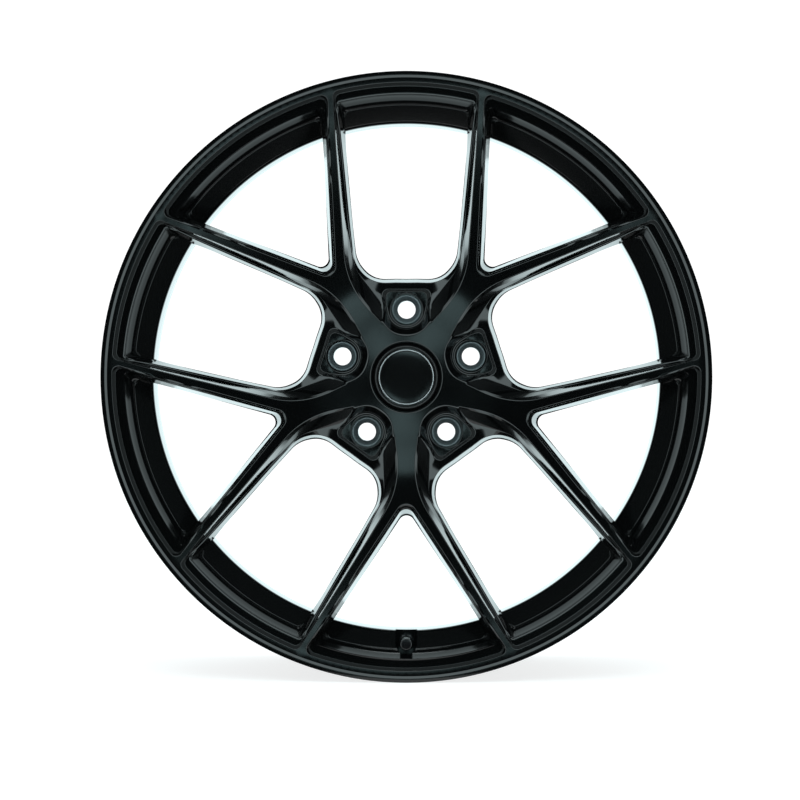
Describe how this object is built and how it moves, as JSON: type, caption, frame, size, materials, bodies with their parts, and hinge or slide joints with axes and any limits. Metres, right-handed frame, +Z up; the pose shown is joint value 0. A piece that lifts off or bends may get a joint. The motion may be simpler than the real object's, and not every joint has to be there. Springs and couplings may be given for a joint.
{
  "type": "wheel rim",
  "caption": "Forged Y-spoke racing wheel with deep drop-centre barrel, conical bolt seats, snap-in centre cap and tyre valve.",
  "frame": {"origin": "on the wheel's axis, midway between the two rim lips", "axes": "+Y along the wheel's axis from the face to the vehicle, +Z up with the valve at the bottom, +X to the right seen from the face"},
  "size_m": [0.497, 0.24, 0.497],
  "materials": {
    "satin_black": "satin black paint over forged aluminium",
    "seat_metal": "turned steel, dark zinc",
    "cap_black": "gloss black",
    "silver": "bright",
    "spring_steel": "drawn wire",
    "nylon": "moulded",
    "anodised": "black anodised",
    "valve_rubber": "matt",
    "valve_brass": "turned"
  },
  "bodies": {
    "wheel": {"outboard_flange": "satin_black", "rim_barrel": "satin_black", "inboard_flange": "satin_black", "hub_center": "satin_black", "spoke_1": "satin_black", "spoke_2": "satin_black", "spoke_3": "satin_black", "spoke_4": "satin_black", "spoke_5": "satin_black", "lug_seat_1": "seat_metal", "lug_seat_2": "seat_metal", "lug_seat_3": "seat_metal", "lug_seat_4": "seat_metal", "lug_seat_5": "seat_metal", "hub_centring_ring": "nylon", "valve_stem": "anodised", "valve_grommet": "valve_rubber", "valve_washer": "anodised", "valve_nut": "anodised", "valve_core_barrel": "valve_brass", "valve_core_spring": "spring_steel", "valve_core_seal": "valve_rubber"},
    "centre_cap": {"cap_body": "cap_black", "cap_emblem": "cap_black", "cap_trim_ring": "silver", "cap_spring_ring": "spring_steel"},
    "valve_cap": {"valve_cap": "anodised", "valve_cap_seal": "valve_rubber"},
    "valve_pin": {"valve_core_pin": "valve_brass"}
  },
  "joints": [
    {"name": "centre_cap_off", "type": "slide", "parent": "wheel", "child": "centre_cap", "axis": [0, -1, 0], "range_m": [0, 0.04]},
    {"name": "valve_cap_off", "type": "slide", "parent": "wheel", "child": "valve_cap", "axis": [0, -1, 0], "range_m": [0, 0.02]},
    {"name": "valve_pin_press", "type": "slide", "parent": "wheel", "child": "valve_pin", "axis": [0, 1, 0], "range_m": [0, 0.0015], "stiffness_N_per_m": 100, "springref_m": -0.005, "deforming": ["valve_core_spring"]}
  ]
}
